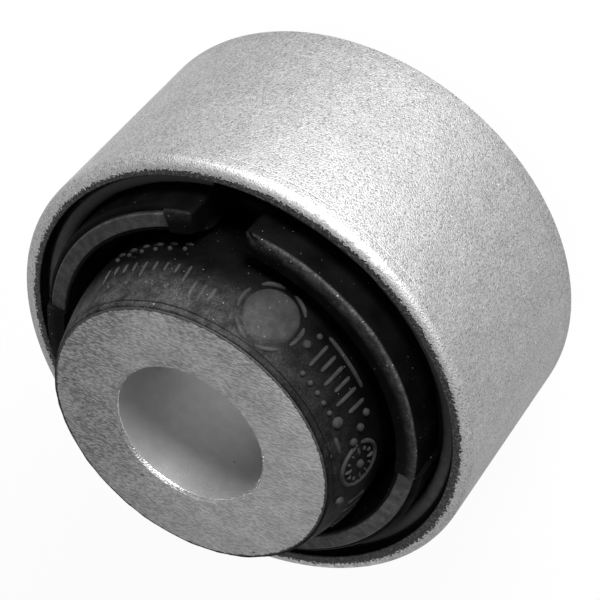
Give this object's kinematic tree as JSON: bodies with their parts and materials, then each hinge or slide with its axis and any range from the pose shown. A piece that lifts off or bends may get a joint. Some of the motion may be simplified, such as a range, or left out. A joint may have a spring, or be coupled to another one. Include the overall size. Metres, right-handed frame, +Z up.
{
  "type": "rubber metal bush",
  "caption": "Rubber metal bush: a short outer sleeve and a longer inner sleeve joined by a rubber moulding with half shells bedded in it, a deep end groove and through slots.",
  "frame": {"origin": "on the bore's axis, in the lower end face of the inner sleeve, which is the base of the bounding box", "axes": "+Z runs up along the bore, the slots in the rubber lie on +Y and -Y, and +X points through the middle of the right half shell"},
  "size_m": [0.045, 0.045, 0.0387],
  "materials": {
    "outer_sleeve_metal": "bead-blasted bare aluminium, fine grain",
    "inner_sleeve_metal": "bead-blasted bare aluminium, fine grain, smooth bore",
    "rubber": "matt black moulded rubber with dust specks",
    "shell_metal": "matt grey primer for bonding"
  },
  "bodies": {
    "root": {"outer_sleeve": "outer_sleeve_metal", "inner_sleeve": "inner_sleeve_metal", "rubber_body": "rubber", "right_half_shell": "shell_metal", "left_half_shell": "shell_metal"}
  },
  "joints": []
}
